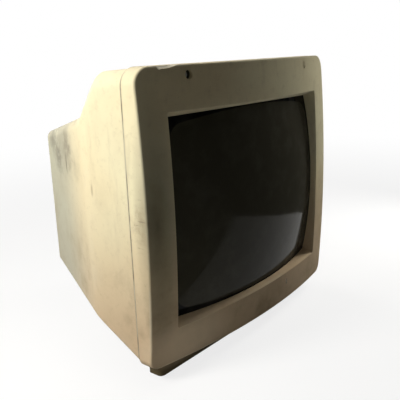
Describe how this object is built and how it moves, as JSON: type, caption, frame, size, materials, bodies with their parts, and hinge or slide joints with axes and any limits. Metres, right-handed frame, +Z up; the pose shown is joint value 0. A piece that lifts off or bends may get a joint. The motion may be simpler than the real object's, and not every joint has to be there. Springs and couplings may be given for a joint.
{
  "type": "computer monitor",
  "caption": "Desktop cathode-ray tube computer monitor with a bulged bezel, a stepped rear housing, a low fixed base, sockets and turning controls.",
  "frame": {"origin": "on the table, under the middle of the monitor's box", "axes": "+Z up, -Y out of the screen towards the viewer, +X to the right seen from the front"},
  "size_m": [0.36, 0.34, 0.3305],
  "materials": {
    "case_plastic": "finely textured cream plastic, yellowed and scuffed",
    "control_plastic": "smooth moulded plastic",
    "rubber": "matt",
    "screen_glass": "dark tinted, polished",
    "coated_glass": "coated with graphite paint",
    "steel": "zinc plated",
    "nickel": "nickel plated",
    "aluminium": "extruded",
    "copper_wire": "enamelled copper windings",
    "ferrite": "sintered, matt",
    "white_plastic": "moulded",
    "black_tape": "taped winding",
    "circuit_board": "green solder mask",
    "anode_rubber": "soft silicone rubber",
    "red_insulation": "silicone insulation",
    "black_plastic": "moulded",
    "transformer_varnish": "varnished core and tape",
    "capacitor_sleeve": "shrunk sleeve",
    "blue_plastic": "moulded",
    "led_lens": "diffusing, unlit"
  },
  "bodies": {
    "monitor": {"front_bezel": "case_plastic", "rear_cover": "case_plastic", "base_tub": "case_plastic", "rubber_feet": "rubber", "screw_hole_plug": "case_plastic", "bezel_screws": "steel", "cover_screws": "steel", "base_screws": "steel", "crt_faceplate": "screen_glass", "crt_funnel": "coated_glass", "shadow_mask": "steel", "tension_band": "steel", "crt_screws": "steel", "crt_screw_washers": "steel", "electron_gun": "nickel", "tube_base_pins": "nickel", "deflection_coils": "copper_wire", "yoke_core": "ferrite", "yoke_clamp": "steel", "convergence_rings": "white_plastic", "degaussing_coil": "black_tape", "neck_board": "circuit_board", "crt_socket": "white_plastic", "video_amplifiers": "aluminium", "anode_cap": "anode_rubber", "anode_lead": "red_insulation", "main_board": "circuit_board", "board_screws": "steel", "flyback_transformer": "black_plastic", "power_transformer": "transformer_varnish", "mains_capacitor": "capacitor_sleeve", "small_capacitors": "capacitor_sleeve", "heatsink": "aluminium", "power_transistors": "black_plastic", "mains_choke": "copper_wire", "mains_fuse": "nickel", "control_board": "circuit_board", "front_adjusters": "blue_plastic", "power_switch": "black_plastic", "power_led": "led_lens", "mains_inlet": "black_plastic", "inlet_pins": "nickel", "inlet_screws": "steel", "inlet_nuts": "steel", "video_socket": "nickel", "video_socket_insert": "black_plastic", "socket_nuts": "nickel", "rear_adjusters": "blue_plastic"},
    "power_button": {"power_button": "control_plastic"},
    "brightness_wheel": {"brightness_wheel": "control_plastic"},
    "contrast_wheel": {"contrast_wheel": "control_plastic"},
    "v_size_knob": {"v_size_knob": "control_plastic"},
    "h_position_knob": {"h_position_knob": "control_plastic"},
    "v_position_knob": {"v_position_knob": "control_plastic"}
  },
  "joints": [
    {"name": "power_button_press", "type": "slide", "parent": "monitor", "child": "power_button", "axis": [-1, 0, 0], "range_m": [0, 0.003], "stiffness_N_per_m": 600, "springref_m": -0.001},
    {"name": "brightness_wheel_turn", "type": "hinge", "parent": "monitor", "child": "brightness_wheel", "pos_m": [0.08, -0.141, 0.0243], "axis": [1, 0, 0], "range_deg": [-135, 135]},
    {"name": "contrast_wheel_turn", "type": "hinge", "parent": "monitor", "child": "contrast_wheel", "pos_m": [0.108, -0.141, 0.0243], "axis": [1, 0, 0], "range_deg": [-135, 135]},
    {"name": "v_size_knob_turn", "type": "hinge", "parent": "monitor", "child": "v_size_knob", "pos_m": [0.046, 0.055, 0.03], "axis": [0, 1, 0], "range_deg": [-135, 135]},
    {"name": "h_position_knob_turn", "type": "hinge", "parent": "monitor", "child": "h_position_knob", "pos_m": [0.06, 0.055, 0.03], "axis": [0, 1, 0], "range_deg": [-135, 135]},
    {"name": "v_position_knob_turn", "type": "hinge", "parent": "monitor", "child": "v_position_knob", "pos_m": [0.074, 0.055, 0.03], "axis": [0, 1, 0], "range_deg": [-135, 135]}
  ]
}
